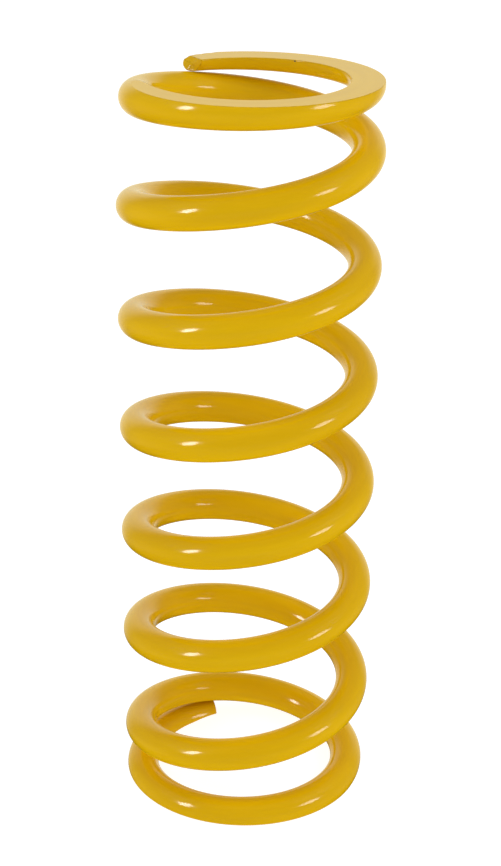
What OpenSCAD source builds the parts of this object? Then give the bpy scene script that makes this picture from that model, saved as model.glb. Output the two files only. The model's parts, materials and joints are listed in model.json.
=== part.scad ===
// Helical compression spring of a rear shock absorber: round wire, right-hand coil,
// both ends closed and ground flat. The wire is held as quarter turns, so that each
// stretch of it can sink by its own share when the spring is compressed.
// The spring stands on the plane z = 0 with its axis along +Z.

/* [Spring] */
// Height of the unloaded spring, from one ground face to the other
free_length = 250; // [220:5:300]
// Clear bore inside the closed ends
inner_diameter = 63; // [55:1:75]
// How much wider the bore is inside the open coils
bore_growth = 1.5; // [0:0.1:3]
// Diameter of the round wire
wire_diameter = 11; // [8:0.5:12]
// Plan angle of the lower wire tip, counter-clockwise from +X
lower_tip_angle = 110; // [0:1:359]
// How far the upper wire tip runs past eight full turns, in degrees
upper_overrun = 11; // [0:1:40]

/* [Closed and ground ends] */
// How far the wire's centre is ground past at each tip, as a share of the wire
tip_sink = 0.08; // [0:0.01:0.2]
// Rise of a closed end coil in one turn, as a share of the wire
closing_rise = 0.55; // [0.5:0.05:0.8]
// Turns from each tip to where the coil starts to open
opening_start = 0.62; // [0.56:0.01:0.64]
// Turns over which the coil opens to its full pitch
opening_turns = 0.75; // [0.6:0.05:0.75]

/* [Load] */
// How far the upper end is pressed down from its free height
compression = 0; // [0:5:100]

/* [Hidden] */
NODES = [
    "lower_end_left", "lower_end_front", "lower_end_right", "lower_end_back",
    "coil_2_left", "coil_2_front", "coil_2_right", "coil_2_back",
    "coil_3_left", "coil_3_front", "coil_3_right", "coil_3_back",
    "coil_4_left", "coil_4_front", "coil_4_right", "coil_4_back",
    "coil_5_left", "coil_5_front", "coil_5_right", "coil_5_back",
    "coil_6_left", "coil_6_front", "coil_6_right", "coil_6_back",
    "coil_7_left", "coil_7_front", "coil_7_right", "coil_7_back",
    "upper_end_left", "upper_end_front", "upper_end_right", "upper_end_back"
];

coat = [0.87, 0.67, 0.03];
end_radius = (inner_diameter + wire_diameter) / 2;
quarters = len(NODES);
total_turns = quarters / 4 + upper_overrun / 360;
half_turns = total_turns / 2;

// Quarters 0 to still_below stay on the lower seat, and those from still_above on
// move with the upper seat; the ones between share the travel in equal steps.
still_below = 4;
still_above = 27;

function clamped(x) = min(max(x, 0), 1);
function smooth(x) = pow(clamped(x), 2) * (3 - 2 * clamped(x));

// A curve of slope 0 at x = 0 that bends into a line of slope 1 at x = 1
function eased(x) = pow(clamped(x), 2) - pow(clamped(x), 3) / 3 + max(x - 1, 0);

// Rise of the wire's centre above the seat that it is closed onto, as a share of the
// wire, in two parts: that of a closed coil, and what opening the coil adds to it
function closed_rise(turns) = closing_rise * turns - tip_sink;
function opening(turns) = opening_turns * eased((turns - opening_start) / opening_turns);
open_rise = (free_length / 2 / wire_diameter - closed_rise(half_turns)) / opening(half_turns);
function height_above_seat(turns) =
    wire_diameter * (closed_rise(turns) + open_rise * opening(turns));

// Height of the wire's centre, counted in turns from the lower tip
function wire_height(turns) =
    turns < half_turns ? height_above_seat(turns)
    : free_length - height_above_seat(total_turns - turns);

// Distance of the wire's centre from the axis, counted the same way
function coil_radius(turns) =
    end_radius + bore_growth / 2
    * smooth((min(turns, total_turns - turns) - opening_start) / opening_turns);

// Share of the compression that quarter i sinks by
function travel_share(i) = min(1, max(0, (i - still_below) / (still_above - still_below)));

// Turns from the lower tip to the start of quarter i; the last one reaches the upper tip
function quarter_start(i) = i == quarters ? total_turns : i / 4;

arc_overlap = 3;
wedge_reach = 2 * (end_radius + wire_diameter);
wedge_steps = 3;

// The space between two upright planes through the axis and the two ground faces
module wedge(from_angle, to_angle) {
    step = (to_angle - from_angle) / wedge_steps;
    rim = [for (k = [0 : wedge_steps]) from_angle + k * step];
    linear_extrude(height = free_length)
        polygon(concat([[0, 0]], [for (a = rim) wedge_reach * [cos(a), sin(a)]]));
}

// A ring arc of round wire, tilted about the radius through its middle. It meets the
// coil at its middle in plan, and at both of its ends in plan and in height. The radii
// are the coil's own at the arc's start, middle and end.
module tilted_arc(half_angle, rise, first_radius, middle_radius, last_radius) {
    off_x = (middle_radius - (first_radius + last_radius) / 2) / (1 - cos(half_angle));
    off_y = (last_radius - first_radius) / (2 * sin(half_angle));
    plan_radius = middle_radius - off_x;
    tilt = atan2(rise / 2, plan_radius * sin(half_angle));
    shift = plan_radius * (1 + cos(half_angle)) * pow(tan(tilt), 2) / 2;
    arc_radius = plan_radius + shift;
    reach = plan_radius * sin(half_angle) / cos(tilt);
    arc_half = atan2(reach, plan_radius * cos(half_angle) + shift) + arc_overlap;
    translate([off_x, off_y, 0])
        rotate([tilt, 0, 0])
            translate([-shift, 0, 0])
                rotate_extrude(start = -arc_half, angle = 2 * arc_half, $fn = 192)
                    translate([arc_radius, 0])
                        circle(d = wire_diameter, $fn = 48);
}

// Quarter i of the wire, counted from the lower tip
module coil_quarter(i) {
    from_turns = quarter_start(i);
    to_turns = quarter_start(i + 1);
    mid_turns = (from_turns + to_turns) / 2;
    half_angle = 180 * (to_turns - from_turns);
    from_angle = lower_tip_angle + 360 * from_turns;
    low = wire_height(from_turns);
    high = wire_height(to_turns);
    color(coat)
        translate([0, 0, -compression * travel_share(i)])
            intersection() {
                rotate([0, 0, from_angle + half_angle])
                    translate([0, 0, (low + high) / 2])
                        tilted_arc(
                            half_angle, high - low,
                            coil_radius(from_turns), coil_radius(mid_turns), coil_radius(to_turns)
                        );
                wedge(from_angle, from_angle + 2 * half_angle);
            }
}

// Closed lower end: four quarters, ground flat underneath
module lower_end_left() coil_quarter(0);
module lower_end_front() coil_quarter(1);
module lower_end_right() coil_quarter(2);
module lower_end_back() coil_quarter(3);

// Open coils
module coil_2_left() coil_quarter(4);
module coil_2_front() coil_quarter(5);
module coil_2_right() coil_quarter(6);
module coil_2_back() coil_quarter(7);
module coil_3_left() coil_quarter(8);
module coil_3_front() coil_quarter(9);
module coil_3_right() coil_quarter(10);
module coil_3_back() coil_quarter(11);
module coil_4_left() coil_quarter(12);
module coil_4_front() coil_quarter(13);
module coil_4_right() coil_quarter(14);
module coil_4_back() coil_quarter(15);
module coil_5_left() coil_quarter(16);
module coil_5_front() coil_quarter(17);
module coil_5_right() coil_quarter(18);
module coil_5_back() coil_quarter(19);
module coil_6_left() coil_quarter(20);
module coil_6_front() coil_quarter(21);
module coil_6_right() coil_quarter(22);
module coil_6_back() coil_quarter(23);
module coil_7_left() coil_quarter(24);
module coil_7_front() coil_quarter(25);
module coil_7_right() coil_quarter(26);
module coil_7_back() coil_quarter(27);

// Closed upper end: four quarters, ground flat on top
module upper_end_left() coil_quarter(28);
module upper_end_front() coil_quarter(29);
module upper_end_right() coil_quarter(30);
module upper_end_back() coil_quarter(31);

lower_end_left();
lower_end_front();
lower_end_right();
lower_end_back();
coil_2_left();
coil_2_front();
coil_2_right();
coil_2_back();
coil_3_left();
coil_3_front();
coil_3_right();
coil_3_back();
coil_4_left();
coil_4_front();
coil_4_right();
coil_4_back();
coil_5_left();
coil_5_front();
coil_5_right();
coil_5_back();
coil_6_left();
coil_6_front();
coil_6_right();
coil_6_back();
coil_7_left();
coil_7_front();
coil_7_right();
coil_7_back();
upper_end_left();
upper_end_front();
upper_end_right();
upper_end_back();
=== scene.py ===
import json
import math

import bpy
import numpy as np
from mathutils import Matrix, Vector, noise

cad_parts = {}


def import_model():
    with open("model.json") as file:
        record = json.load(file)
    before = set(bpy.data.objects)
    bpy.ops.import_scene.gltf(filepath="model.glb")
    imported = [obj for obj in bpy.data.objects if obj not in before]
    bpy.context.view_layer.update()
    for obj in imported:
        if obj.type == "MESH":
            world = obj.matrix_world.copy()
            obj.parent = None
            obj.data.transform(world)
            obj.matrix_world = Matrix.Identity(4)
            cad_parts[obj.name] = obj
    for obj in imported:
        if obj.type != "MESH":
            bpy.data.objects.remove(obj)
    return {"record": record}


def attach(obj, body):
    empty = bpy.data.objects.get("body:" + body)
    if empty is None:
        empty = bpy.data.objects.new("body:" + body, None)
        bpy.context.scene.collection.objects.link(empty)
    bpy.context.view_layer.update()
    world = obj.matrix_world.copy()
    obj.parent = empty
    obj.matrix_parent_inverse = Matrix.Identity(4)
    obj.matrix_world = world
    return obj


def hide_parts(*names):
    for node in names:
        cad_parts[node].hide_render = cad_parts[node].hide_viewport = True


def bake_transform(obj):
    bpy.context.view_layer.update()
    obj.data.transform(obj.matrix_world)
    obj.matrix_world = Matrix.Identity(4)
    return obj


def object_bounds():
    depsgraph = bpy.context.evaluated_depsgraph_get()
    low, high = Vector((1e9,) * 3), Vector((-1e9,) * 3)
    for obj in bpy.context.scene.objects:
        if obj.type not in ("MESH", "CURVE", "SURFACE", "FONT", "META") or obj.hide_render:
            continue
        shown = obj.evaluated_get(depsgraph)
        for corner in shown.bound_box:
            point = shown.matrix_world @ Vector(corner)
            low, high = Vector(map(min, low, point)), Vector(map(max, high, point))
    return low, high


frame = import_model()
cad_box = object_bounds()

# ---------------------------------------------------------------- the spring's sizes

MM = 0.001
SIDES = ("left", "front", "right", "back")
OPEN_COILS = tuple(f"coil_{k}" for k in range(2, 8))
COILS = ("lower_end", *OPEN_COILS, "upper_end")
QUARTERS = [f"{coil}_{side}" for coil in COILS for side in SIDES]

MOUNTS = {mount["name"]: mount for mount in frame["record"]["mounts"]}
FREE_LENGTH = cad_box[1].z - cad_box[0].z
BORE_RADIUS = MOUNTS["upper_collar_bore"]["dims"]["r_mm"] * MM
WIRE_RADIUS = 5.5 * MM
END_RADIUS = BORE_RADIUS + WIRE_RADIUS
OPEN_RADIUS = END_RADIUS + 0.75 * MM

TIP_ANGLE = math.radians(110)   # plan angle of the lower wire tip
UPPER_OVERRUN = 11 / 360        # turns that the upper tip runs on past the lower one
TURNS = len(QUARTERS) / 4 + UPPER_OVERRUN
HALF_TURNS = TURNS / 2

# The closed ends, in turns from a tip and in wire diameters
TIP_SINK = 0.08
CLOSING_RISE = 0.55
OPENING_START = 0.62
OPENING_TURNS = 0.75

# Where each end coil draws in a little before it opens, in turns from a tip
DIP_DEPTH = 0.8 * MM
DIP_MIDDLE = 0.88
DIP_REACH = 0.45

# The mesh
AROUND = 64                     # points round the wire
FLAT_STEPS = 6                  # of them on each half of a ground face
EDGE_STEPS = 4                  # and on its rounded edge
RINGS_PER_TURN = 160
GROUND_EDGE = 0.35 * MM         # radius of a ground face's edge
SLIMMEST_FLAT = 0.5 * MM        # half the narrowest flat whose edges the points follow
EVENING_START = 0.95            # turns from a tip where the points, which follow the
EVENING_TURNS = 0.05            # flat up to there, start to space out evenly


def smooth(x):
    x = np.clip(x, 0.0, 1.0)
    return x * x * (3 - 2 * x)


def eased(x):
    """A curve of slope 0 at x = 0 that bends into a line of slope 1 at x = 1."""
    grown = np.clip(x, 0.0, 1.0)
    return grown ** 2 - grown ** 3 / 3 + np.maximum(x - 1, 0.0)


def unit(vectors):
    return vectors / np.linalg.norm(vectors, axis=-1, keepdims=True)


# ---------------------------------------------------------------- the wire's line

def closed_rise(turns_from_tip):
    return CLOSING_RISE * turns_from_tip - TIP_SINK


def opening(turns_from_tip):
    return OPENING_TURNS * eased((turns_from_tip - OPENING_START) / OPENING_TURNS)


# Wire diameters that the open coils rise in a turn, past what the closed ones do
HALF_LENGTH = FREE_LENGTH / 4 / WIRE_RADIUS
OPEN_RISE = (HALF_LENGTH - closed_rise(HALF_TURNS)) / opening(HALF_TURNS)


def centre_height(turns):
    from_tip = np.minimum(turns, TURNS - turns)
    above_seat = 2 * WIRE_RADIUS * (closed_rise(from_tip) + OPEN_RISE * opening(from_tip))
    return np.where(turns < HALF_TURNS, above_seat, FREE_LENGTH - above_seat)


def coil_radius(turns):
    from_tip = np.minimum(turns, TURNS - turns)
    opened = smooth((from_tip - OPENING_START) / OPENING_TURNS)
    dip = 0.5 + 0.5 * np.cos(np.pi * np.clip((from_tip - DIP_MIDDLE) / DIP_REACH, -1, 1))
    return END_RADIUS + (OPEN_RADIUS - END_RADIUS) * opened - DIP_DEPTH * dip


def centre_line(turns):
    angle = TIP_ANGLE + 2 * np.pi * turns
    radius = coil_radius(turns)
    return np.stack([radius * np.cos(angle), radius * np.sin(angle), centre_height(turns)], -1)


def arc_length(turns):
    return 2 * math.pi * OPEN_RADIUS * turns


def wire_frame(turns):
    """Centre, tangent, outward and upward directions of the wire at these turns."""
    step = 1e-4
    centre = centre_line(turns)
    tangent = unit(centre_line(turns + step) - centre_line(turns - step))
    angle = TIP_ANGLE + 2 * np.pi * turns
    outward = np.stack([np.cos(angle), np.sin(angle), np.zeros_like(angle)], -1)
    outward = unit(outward - tangent * np.sum(outward * tangent, -1, keepdims=True))
    upward = np.cross(outward, tangent)
    return centre, tangent, outward, upward


# ---------------------------------------------------------------- the wire's section

# A section is a row for each point round the wire: x, y, the normal's x and y, and 1 on
# the ground flat, falling to 0 across its edge. x is outward, and y is towards the seat
# until section_at turns it upward.
ROUND_STEPS = AROUND // 2 - FLAT_STEPS - EDGE_STEPS
EDGE_REACH = WIRE_RADIUS - GROUND_EDGE
SLIM_CUT = GROUND_EDGE + math.sqrt(EDGE_REACH ** 2 - SLIMMEST_FLAT ** 2)

# Flats that the cutting left at the wire's ends: the way they face, how far from the
# wire's centre they are at the tip, and how fast they run out of the wire away from it
UPPER_BEVELS = (
    (math.radians(55), 0.9 * MM, 0.15),
    (math.radians(-131), 5.05 * MM, 0.2),
)
LOWER_BEVELS = (
    (math.radians(125), 1.3 * MM, 0.1),
)
TIP_REACH = 16 * MM             # length of wire at each tip that may have bevels


def half_flat(cut):
    """Half the width of the flat on a wire cut off this far above its centre."""
    return math.sqrt(max(EDGE_REACH ** 2 - (cut - GROUND_EDGE) ** 2, 0.0))


def ground_section(cut):
    """The section of a wire that is ground off this far from its centre.

    Its points run counter-clockwise from the side away from the seat."""
    width = half_flat(cut)
    turn = math.atan2(cut - GROUND_EDGE, width)
    low = np.linspace(-math.pi / 2, turn, ROUND_STEPS + 1)
    bend = np.linspace(turn, math.pi / 2, EDGE_STEPS + 1)[1:]
    flat = np.linspace(width, 0, FLAT_STEPS + 1)[1:]
    up = np.full(FLAT_STEPS, math.pi / 2)
    x = np.concatenate([WIRE_RADIUS * np.cos(low), width + GROUND_EDGE * np.cos(bend), flat])
    y_bend = cut - GROUND_EDGE + GROUND_EDGE * np.sin(bend)
    y = np.concatenate([WIRE_RADIUS * np.sin(low), y_bend, np.full(FLAT_STEPS, cut)])
    normal = np.concatenate([low, bend, up])
    edge_flatness = np.linspace(0, 1, EDGE_STEPS + 1)[1:]
    flatness = np.concatenate([np.zeros_like(low), edge_flatness, np.ones_like(up)])
    half = np.stack([x, y, np.cos(normal), np.sin(normal), flatness], -1)
    other_half = half[1:-1][::-1] * np.array([-1, 1, -1, 1, 1])
    return np.concatenate([half, other_half])


def round_section(points, cut, evenness):
    """The same points on a round wire, or on one ground only just below its top."""
    angles = np.unwrap(np.arctan2(points[:, 1], points[:, 0]))
    even = -math.pi / 2 + 2 * math.pi * np.arange(AROUND) / AROUND
    angles = (1 - evenness) * angles + evenness * even
    x, y = WIRE_RADIUS * np.cos(angles), WIRE_RADIUS * np.sin(angles)
    on_flat = y > cut
    y = np.minimum(y, cut)
    nx = np.where(on_flat, 0.0, np.cos(angles))
    ny = np.where(on_flat, 1.0, np.sin(angles))
    return np.stack([x, y, nx, ny, on_flat.astype(float)], -1)


def bevelled(points, distance, bevels):
    """The section with the bevels that a cut end has at this distance from it."""
    points = points.copy()
    for facing, reach, slope in bevels:
        toward = np.array([math.cos(facing), math.sin(facing)])
        over = np.maximum(points[:, :2] @ toward - (reach + slope * distance), 0)
        cut_off = over > 0
        points[:, :2] -= over[:, None] * toward
        points[cut_off, 2:4] = toward
        points[cut_off, 4] = 0
    return points


def section_at(turns, cut):
    """The wire's section at these turns, with y upward at both ends."""
    points = ground_section(min(cut, SLIM_CUT))
    from_tip = min(turns, TURNS - turns)
    if cut > SLIM_CUT:
        evenness = float(smooth((from_tip - EVENING_START) / EVENING_TURNS))
        points = round_section(points, cut, evenness)
    if arc_length(from_tip) < TIP_REACH:
        bevels = LOWER_BEVELS if turns < HALF_TURNS else UPPER_BEVELS
        points = bevelled(points, arc_length(from_tip), bevels)
    if turns < HALF_TURNS:
        points = points[::-1] * np.array([1, -1, 1, -1, 1])
        points = np.roll(points, 1 + AROUND // 2, axis=0)
    return points


def rings(turns):
    """Places, normals, places in the section, and flatness, for the rings at these turns."""
    centre, tangent, outward, upward = wire_frame(turns)
    from_seat = np.where(turns < HALF_TURNS, centre[:, 2], FREE_LENGTH - centre[:, 2])
    cuts = from_seat / upward[:, 2]
    sections = np.array([section_at(at, cut) for at, cut in zip(turns, cuts)])
    x, y, nx, ny, flatness = (sections[..., k, None] for k in range(5))
    outward, upward = outward[:, None], upward[:, None]
    places = centre[:, None] + x * outward + y * upward
    straight_up = np.array([0.0, 0.0, 1.0])
    normals = unit(nx * outward + ny * (upward + flatness * (straight_up - upward)))
    return places, normals, sections[..., :2], flatness[..., 0]


# ---------------------------------------------------------------- the wire's cut ends

# The rim is rounded over and the face is rough.
RIM = 0.3 * MM
RIM_STEPS = 4
RIM_WAVINESS = 0.45
RIM_WAVE = 1.6 * MM
FACE_RINGS = 8
FACE_ROUGHNESS = 0.22 * MM
FACE_WAVE = 1.3 * MM
TIP_RING_STEP = 0.4 * MM        # between the rings over TIP_REACH
NOISE_SEED = Vector((3.7, 1.9, 8.2))

# On the upper end, the lip that the cut left on the side away from the seat. Its places
# are in the section, with x outward and y upward.
LIP = 2.0 * MM
LIP_START = -2.5 * MM
LIP_WIDTH = 4.5 * MM
LIP_TOP = -0.5 * MM
LIP_HEIGHT = 4.0 * MM


def upper_lip(x, y):
    """How far the upper end's cut face stands out at these places in the section."""
    return LIP * smooth((x - LIP_START) / LIP_WIDTH) * smooth((LIP_TOP - y) / LIP_HEIGHT)


def rough(place, size):
    """A steady random value from -1 to 1 that changes over this distance."""
    return noise.noise(Vector(place) / size + NOISE_SEED)


def ring_row(turns, place, normal, section, flatness):
    """A ring of points as wire_mesh takes it; normal is None to use the mesh's own."""
    return {"place": place, "normal": normal, "section": section, "ground": flatness,
            "along": arc_length(turns), "cut": 0.0}


def middle_row(turns):
    """The single point that closes a piece where the wire runs on into the next one."""
    centre = centre_line(np.array([turns]))
    return ring_row(turns, centre, None, np.zeros((1, 2)), np.zeros(1))


def tip_rows(turns, outwards):
    """Rows over the rim and face of the cut end at these turns, the rim's side first."""
    centre, tangent, outward, upward = (v[0] for v in wire_frame(np.array([turns])))
    place, normal, _, flatness = (v[0] for v in rings(np.array([turns])))
    ahead = tangent * outwards
    if outwards > 0:
        x, y = (place - centre) @ outward, (place - centre) @ upward
        place = place + upper_lip(x, y)[:, None] * ahead
        place[:, 2] = np.minimum(place[:, 2], FREE_LENGTH)
    waves = np.array([0.5 + 0.5 * rough(p, RIM_WAVE) for p in place])
    rim = RIM * (1 - RIM_WAVINESS * waves)
    inward = -unit(normal - (normal @ ahead)[:, None] * ahead)
    places = []
    for angle in np.linspace(0, math.pi / 2, RIM_STEPS + 1):
        inset = rim * (1 - math.cos(angle))
        set_back = rim * (1 - math.sin(angle))
        places.append(place + inset[:, None] * inward - set_back[:, None] * ahead)
    edge = places[-1]
    middle = edge.mean(axis=0)
    for k in range(1, FACE_RINGS):
        ring = middle + (edge - middle) * (1 - k / FACE_RINGS)
        relief = [FACE_ROUGHNESS * rough(p, FACE_WAVE) for p in ring]
        places.append(ring + np.array(relief)[:, None] * ahead)
    places.append(middle[None])
    rows = []
    for k, points in enumerate(places):
        section = np.stack([(points - centre) @ outward, (points - centre) @ upward], -1)
        ground = flatness if k == 0 else np.zeros(len(points))
        row = ring_row(turns, points, None, section, ground)
        row["cut"] = min(k / RIM_STEPS, 1.0)
        rows.append(row)
    return rows


# ---------------------------------------------------------------- the wire's pieces

def ring_turns(start, end):
    """Turns of a piece's rings: evenly spaced, and closer together next to a cut end."""
    turns = np.linspace(start, end, max(2, round((end - start) * RINGS_PER_TURN)) + 1)
    near_tip = np.arange(2 * RIM, TIP_REACH, TIP_RING_STEP) / arc_length(1)
    if start == 0:
        turns = np.concatenate([near_tip, turns[turns > near_tip[-1]]])
    if end == TURNS:
        turns = np.concatenate([turns[turns < TURNS - near_tip[-1]], TURNS - near_tip[::-1]])
    return turns


def piece_rows(start, end):
    turns = ring_turns(start, end)
    rows = [ring_row(*values) for values in zip(turns, *rings(turns))]
    before = tip_rows(start, -1)[::-1] if start == 0 else [middle_row(start)]
    after = tip_rows(end, 1) if end == TURNS else [middle_row(end)]
    return before + rows + after


def faces_between(near, far, near_first, far_first):
    """Quads between two rings of points, or triangles where one of them is a point."""
    for j in range(AROUND):
        k = (j + 1) % AROUND
        if near == 1:
            yield near_first, far_first + j, far_first + k
        elif far == 1:
            yield near_first + j, far_first, near_first + k
        else:
            yield near_first + j, far_first + j, far_first + k, near_first + k


def add_attribute(mesh, name, kind, values):
    attribute = mesh.attributes.new(name, kind, "POINT")
    field = "vector" if kind == "FLOAT_VECTOR" else "value"
    attribute.data.foreach_set(field, np.asarray(values, np.float32).ravel())


def wire_mesh(name, rows):
    """A closed mesh through these rows, which start and end with a single point."""
    counts = [len(row["place"]) for row in rows]
    firsts = np.concatenate([[0], np.cumsum(counts)[:-1]])
    faces = []
    for k in range(len(rows) - 1):
        faces += faces_between(counts[k], counts[k + 1], int(firsts[k]), int(firsts[k + 1]))
    mesh = bpy.data.meshes.new(name)
    mesh.from_pydata(np.concatenate([row["place"] for row in rows]).tolist(), [], faces)
    mesh.polygons.foreach_set("use_smooth", np.ones(len(mesh.polygons), bool))
    mesh.update()
    normals = np.zeros(len(mesh.vertices) * 3, np.float32)
    mesh.vertices.foreach_get("normal", normals)
    normals = normals.reshape(-1, 3)
    for row, first, count in zip(rows, firsts, counts):
        if row["normal"] is not None:
            normals[first:first + count] = row["normal"]
    mesh.normals_split_custom_set_from_vertices(normals.tolist())
    along = [np.full((len(row["place"]), 1), row["along"]) for row in rows]
    sections = [np.concatenate([a, row["section"]], -1) for a, row in zip(along, rows)]
    add_attribute(mesh, "wire_place", "FLOAT_VECTOR", np.concatenate(sections))
    add_attribute(mesh, "ground", "FLOAT", np.concatenate([row["ground"] for row in rows]))
    cuts = [np.full(len(row["place"]), row["cut"]) for row in rows]
    add_attribute(mesh, "cut", "FLOAT", np.concatenate(cuts))
    return mesh


# ---------------------------------------------------------------- how the wire moves

# The lower end's body holds the first quarter turns and the upper end's body the last
# ones. From the middle of the last still quarter to the middle of the first one that
# moves with the upper end, the wire's share of the travel grows evenly.
BODIES = frame["record"]["behaviour"]["bodies"]
STILL_TURNS = (len(BODIES["lower_end"]) - 0.5) / 4
MOVING_TURNS = (len(QUARTERS) - len(BODIES["upper_end"]) + 0.5) / 4
SHARE_EASE = 0.25               # turns over which the share starts, and ends, to grow
PIECES_PER_QUARTER = 4
HARDLY = 1e-9


def grown_since(x):
    """A line of slope 1 from x = 0 on, with its kink rounded over SHARE_EASE."""
    into = np.clip(x + SHARE_EASE / 2, 0, SHARE_EASE)
    return into ** 2 / (2 * SHARE_EASE) + max(x - SHARE_EASE / 2, 0)


def travel_share(turns):
    grown = grown_since(turns - STILL_TURNS) - grown_since(turns - MOVING_TURNS)
    return min(max(grown / (MOVING_TURNS - STILL_TURNS), 0.0), 1.0)


def follow(piece, start, end):
    """Rides a piece of the wire on the lower end's body when it takes none of the travel and on
    the upper end's when it takes all; any other piece only gets its transform baked into its
    mesh.
    """
    shares = travel_share(start), travel_share(end)
    if shares[1] < HARDLY:
        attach(piece, "lower_end")
        return
    if shares[0] > 1 - HARDLY:
        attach(piece, "upper_end")
        return
    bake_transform(piece)


def add_piece(name, node, start, end, material):
    mesh = wire_mesh(name, piece_rows(start, end))
    mesh.materials.append(material)
    piece = bpy.data.objects.new(name, mesh)
    bpy.context.scene.collection.objects.link(piece)
    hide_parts(node)
    follow(piece, start, end)


def build_wire(material):
    for i, node in enumerate(QUARTERS):
        start = i / 4
        end = TURNS if i == len(QUARTERS) - 1 else (i + 1) / 4
        if node.startswith("coil"):
            cuts = np.linspace(start, end, PIECES_PER_QUARTER + 1)
            for k in range(PIECES_PER_QUARTER):
                add_piece(f"wire_{node}_{k + 1}", node, cuts[k], cuts[k + 1], material)
        else:
            add_piece(f"wire_{node}", node, start, end, material)


# ---------------------------------------------------------------- materials

class Shader:
    """Adds nodes to a material, or to the world, and links them."""

    def __init__(self, owner):
        owner.use_nodes = True
        self.tree = owner.node_tree

    def node(self, kind, **settings):
        made = self.tree.nodes.new("ShaderNode" + kind)
        for key, value in settings.items():
            setattr(made, key, value)
        return made

    def set(self, socket, value):
        if isinstance(value, bpy.types.NodeSocket):
            self.tree.links.new(value, socket)
        else:
            socket.default_value = value

    def attribute(self, name, output="Fac"):
        return self.node("Attribute", attribute_name=name).outputs[output]

    def scaled(self, vector, scale, turn=(0, 0, 0)):
        mapping = self.node("Mapping")
        self.set(mapping.inputs["Vector"], vector)
        mapping.inputs["Scale"].default_value = scale
        mapping.inputs["Rotation"].default_value = turn
        return mapping.outputs["Vector"]

    def noise(self, vector, scale, detail=2.0, roughness=0.5):
        texture = self.node("TexNoise")
        self.set(texture.inputs["Vector"], vector)
        texture.inputs["Scale"].default_value = scale
        texture.inputs["Detail"].default_value = detail
        texture.inputs["Roughness"].default_value = roughness
        return texture.outputs["Fac"]

    def math(self, operation, a, b=0.0, c=0.0):
        made = self.node("Math", operation=operation)
        for socket, value in zip(made.inputs, (a, b, c)):
            self.set(socket, value)
        return made.outputs[0]

    def ranged(self, value, low, high, to_low=0, to_high=1):
        made = self.node("MapRange", interpolation_type="SMOOTHSTEP")
        for name, number in (("Value", value), ("From Min", low), ("From Max", high),
                             ("To Min", to_low), ("To Max", to_high)):
            self.set(made.inputs[name], number)
        return made.outputs["Result"]

    def mix_color(self, share, a, b):
        made = self.node("Mix", data_type="RGBA")
        self.set(made.inputs[0], share)
        for socket, value in ((made.inputs[6], a), (made.inputs[7], b)):
            self.set(socket, (*value, 1.0) if isinstance(value, tuple) else value)
        return made.outputs[2]

    def mix_number(self, share, a, b):
        made = self.node("Mix", data_type="FLOAT")
        for socket, value in ((made.inputs[0], share), (made.inputs[2], a), (made.inputs[3], b)):
            self.set(socket, value)
        return made.outputs[0]

    def bump(self, height, distance, normal=None):
        made = self.node("Bump")
        made.inputs["Distance"].default_value = distance
        self.set(made.inputs["Height"], height)
        if normal is not None:
            self.set(made.inputs["Normal"], normal)
        return made.outputs["Normal"]


def new_material(name):
    """A new material, its shader, and the inputs of its surface."""
    material = bpy.data.materials.new(name)
    shader = Shader(material)
    return material, shader, shader.tree.nodes["Principled BSDF"].inputs


# ---------------------------------------------------------------- the coating

YELLOW = (0.76, 0.457, 0.001)
DEEP_YELLOW = (0.70, 0.410, 0.001)
# Thin coat on sharp edges; the same colour is also painted shade along the cut ends' rims
THIN_COAT_AND_SHADE = (0.42, 0.22, 0.01)
RIM_WEAR_AND_SHADE = 2.4                  # how much more the coat is thinned on a cut end's rim, and darkened there as painted shade
CHIP_COLOR = (0.05, 0.035, 0.02)
CHIP_ANGLE = math.radians(63)
CHIP_RADIUS = 0.38 * MM
ROUGHNESS = (0.34, 0.42)
CUT_ROUGHNESS = 0.1             # more than that on a cut face
GLOSS_ROUGHNESS = 0.13
COAT_IOR = 1.5

# The textures' detail, in waves to a metre. Where it has three values, the first is along
# the wire, or for the grinding marks across them.
TONE_WAVES = (18, 160, 160)
LINE_WAVES = (25, 1500, 1500)
MARK_WAVES = (4200, 90, 90)
MARK_TURN = (0, 0, 0.5)
PATCH_WAVES = 900
FINISH_WAVES = 260
PEEL_WAVES = 850
GRAIN_WAVES = 1300

LINE_DEPTH = 0.012 * MM
PEEL_DEPTH = 0.012 * MM
MARK_DEPTH = 0.004 * MM
GRAIN_DEPTH = 0.12 * MM


def coat_color(shader, place, ground, cut, in_space):
    tone = shader.noise(shader.scaled(place, TONE_WAVES), 1.0, detail=3)
    color = shader.mix_color(shader.ranged(tone, 0.3, 0.7), DEEP_YELLOW, YELLOW)
    # Darker thin coat on the ground faces' edges and on a cut end's rim, where the extra
    # darkening is painted shade standing in for the shadow in the rim's crease
    on_edge = shader.math("MULTIPLY", ground, shader.math("SUBTRACT", 1.0, ground))
    on_rim = shader.math("MULTIPLY", cut, shader.math("SUBTRACT", 1.0, cut))
    thinned_and_shaded = shader.math("MULTIPLY_ADD", on_rim, RIM_WEAR_AND_SHADE, on_edge)
    patchy = shader.ranged(shader.noise(place, PATCH_WAVES, detail=3), 0.35, 0.65, 0.2, 1.6)
    color = shader.mix_color(shader.math("MULTIPLY", thinned_and_shaded, patchy), color, THIN_COAT_AND_SHADE)

    chip = BORE_RADIUS * Vector((math.cos(CHIP_ANGLE), math.sin(CHIP_ANGLE), 0))
    chip.z = FREE_LENGTH - GROUND_EDGE
    offset = shader.node("VectorMath", operation="DISTANCE")
    shader.set(offset.inputs[0], in_space)
    offset.inputs[1].default_value = chip
    chipped = shader.ranged(offset.outputs["Value"], 0.6 * CHIP_RADIUS, CHIP_RADIUS, 1, 0)
    return shader.mix_color(chipped, color, CHIP_COLOR)


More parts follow.
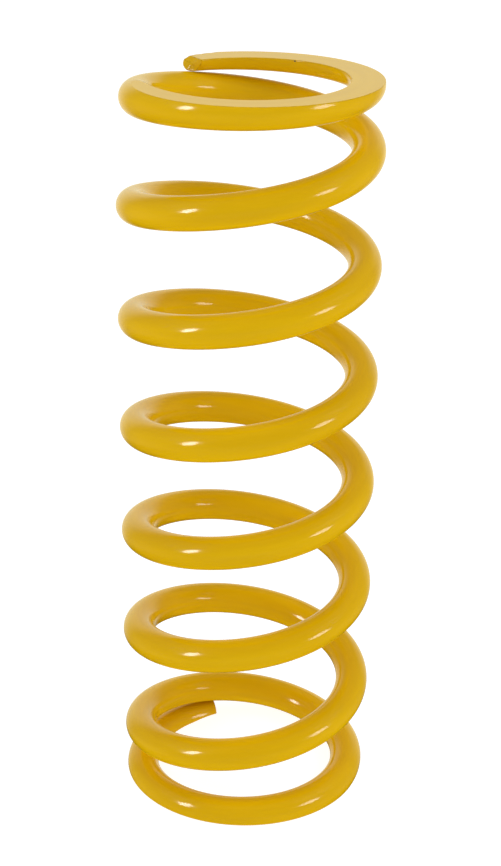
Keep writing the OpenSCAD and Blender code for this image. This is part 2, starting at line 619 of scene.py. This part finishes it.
def coat_normal(shader, place, ground, cut, in_space):
    """Faint drawing lines and orange peel, marks on the ground faces, grain on the cuts."""
    lines = shader.noise(shader.scaled(place, LINE_WAVES), 1.0, detail=1)
    normal = shader.bump(lines, LINE_DEPTH)
    peel = shader.noise(place, PEEL_WAVES, detail=1.5)
    normal = shader.bump(peel, PEEL_DEPTH, normal)
    marks = shader.noise(shader.scaled(in_space, MARK_WAVES, MARK_TURN), 1.0, detail=2)
    normal = shader.bump(shader.math("MULTIPLY", marks, ground), MARK_DEPTH, normal)
    grain = shader.noise(in_space, GRAIN_WAVES, detail=4, roughness=0.65)
    return shader.bump(shader.math("MULTIPLY", grain, cut), GRAIN_DEPTH, normal)


def powder_coat():
    """Gloss yellow powder coat, thin and rubbed on sharp edges and darkened by painted shade
    along the cut ends' rims, with one chip in it.
    """
    material, shader, surface = new_material("powder_coat_yellow")
    place = shader.attribute("wire_place", "Vector")
    ground = shader.attribute("ground")
    cut = shader.attribute("cut")
    in_space = shader.node("TexCoord").outputs["Object"]
    shader.set(surface["Base Color"], coat_color(shader, place, ground, cut, in_space))

    finish = shader.ranged(shader.noise(place, FINISH_WAVES, detail=3), 0.3, 0.7, *ROUGHNESS)
    roughness = shader.math("ADD", finish, shader.math("MULTIPLY", cut, CUT_ROUGHNESS))
    shader.set(surface["Roughness"], roughness)
    surface["IOR"].default_value = COAT_IOR
    surface["Specular IOR Level"].default_value = 0.0
    surface["Coat Weight"].default_value = 1.0
    surface["Coat Roughness"].default_value = GLOSS_ROUGHNESS
    surface["Coat IOR"].default_value = COAT_IOR

    normal = coat_normal(shader, place, ground, cut, in_space)
    shader.set(surface["Normal"], normal)
    shader.set(surface["Coat Normal"], normal)
    return material


# ---------------------------------------------------------------- studio

LIGHT_DISTANCE = 2.4
FLOOR_SIZE = 12.0
FLOOR_COLOR = (0.35, 0.35, 0.35, 1)
FLOOR_GLOW = 0.86
WHITE = (1.0, 1.0, 1.0)

SURROUND = 0.58                 # brightness of the white walls, as light on the spring
MIRRORED_COLOR = (1.0, 0.93, 0.68)
MIRRORED_FRONT = 0.03           # and as seen in its gloss: in front of the spring,
MIRRORED_SIDES = 0.17           # beside it,
MIRRORED_BACK = 0.77            # and, on top of that, at the backdrop behind it
# Where they change, as the backward or the upward part of the direction looked in
FRONT_TO_SIDES = (-0.6, 0.3)
SIDES_TO_BACK = (0.6, 0.95)
BACKDROP_TOP = (0.30, 0.60)
DARK_BELOW = (-0.60, -0.38)


def floor():
    mesh = bpy.data.meshes.new("floor")
    half = FLOOR_SIZE / 2
    corners = [(-half, -half, 0), (half, -half, 0), (half, half, 0), (-half, half, 0)]
    mesh.from_pydata(corners, [], [(0, 1, 2, 3)])
    plane = bpy.data.objects.new("floor", mesh)
    bpy.context.scene.collection.objects.link(plane)
    material, _, surface = new_material("floor_white")
    surface["Base Color"].default_value = FLOOR_COLOR
    surface["Roughness"].default_value = 0.9
    surface["Specular IOR Level"].default_value = 0.1
    surface["Emission Color"].default_value = (*WHITE, 1)
    surface["Emission Strength"].default_value = FLOOR_GLOW
    mesh.materials.append(material)
    plane.visible_glossy = False


def world():
    """White walls. The spring's gloss mirrors them dimmer, but for the backdrop."""
    made = bpy.data.worlds.new("studio")
    shader = Shader(made)
    direction = shader.node("SeparateXYZ")
    shader.set(direction.inputs[0], shader.node("TexCoord").outputs["Generated"])
    backward, upward = direction.outputs["Y"], direction.outputs["Z"]
    walls = shader.ranged(backward, *FRONT_TO_SIDES, MIRRORED_FRONT, MIRRORED_SIDES)
    behind = shader.ranged(backward, *SIDES_TO_BACK)
    not_overhead = shader.ranged(upward, *BACKDROP_TOP, 1, 0)
    backdrop = shader.math("MULTIPLY", behind, not_overhead)
    level = shader.math("MULTIPLY_ADD", backdrop, MIRRORED_BACK, walls)
    mirrored = shader.math("MULTIPLY", level, shader.ranged(upward, *DARK_BELOW))

    rays = shader.node("LightPath").outputs
    lighting = shader.ranged(rays["Is Camera Ray"], 0, 1, SURROUND, 1.0)
    background = shader.tree.nodes["Background"].inputs
    strength = shader.mix_number(rays["Is Glossy Ray"], lighting, mirrored)
    shader.set(background["Strength"], strength)
    tint = shader.mix_color(rays["Is Glossy Ray"], WHITE, MIRRORED_COLOR)
    shader.set(background["Color"], tint)
    bpy.context.scene.world = made


def softbox(name, azimuth, elevation, width, height, watts, in_gloss):
    """An oval light that faces the middle of the spring. Azimuth 0 is in front of it.

    It either shows in the gloss and does no more, or lights the spring unseen."""
    light = bpy.data.lights.new(name, "AREA")
    light.shape = "ELLIPSE"
    light.size, light.size_y = width, height
    light.energy = watts
    lamp = bpy.data.objects.new(name, light)
    bpy.context.scene.collection.objects.link(lamp)
    a, e = math.radians(azimuth), math.radians(elevation)
    toward = Vector((math.sin(a) * math.cos(e), -math.cos(a) * math.cos(e), math.sin(e)))
    lamp.location = Vector((0, 0, FREE_LENGTH / 2)) + LIGHT_DISTANCE * toward
    lamp.rotation_euler = toward.to_track_quat("Z", "Y").to_euler()
    lamp.visible_glossy = in_gloss
    lamp.visible_diffuse = not in_gloss


CAMERA_DISTANCE = 589.4 * MM    # in front of the spring's axis
CAMERA_SIDE = 0.9 * MM
CAMERA_HEIGHT = 374.0 * MM      # above the lower seat
CAMERA_PITCH = math.radians(22.57)
CAMERA_ROLL = math.radians(0.556)
LENS = 78.28                    # millimetres, on a picture this high
PICTURE_HEIGHT = 36


def camera():
    data = bpy.data.cameras.new("camera")
    data.lens = LENS
    data.sensor_width = PICTURE_HEIGHT
    made = bpy.data.objects.new("camera", data)
    bpy.context.scene.collection.objects.link(made)
    place = Matrix.Translation((CAMERA_SIDE, -CAMERA_DISTANCE, CAMERA_HEIGHT))
    tilt = Matrix.Rotation(math.pi / 2 - CAMERA_PITCH, 4, "X")
    made.matrix_world = place @ tilt @ Matrix.Rotation(CAMERA_ROLL, 4, "Z")
    bpy.context.scene.camera = made


build_wire(powder_coat())
floor()
world()
softbox("left_highlight", -60, 22, 0.48, 0.95, 17, in_gloss=True)
softbox("right_highlight", 62, 14, 0.85, 0.65, 9.5, in_gloss=True)
softbox("left_fill", -80, 38, 1.4, 1.4, 15, in_gloss=False)
softbox("right_fill", 80, 38, 1.4, 1.4, 18.5, in_gloss=False)
camera()
bpy.context.scene.view_settings.view_transform = "Standard"
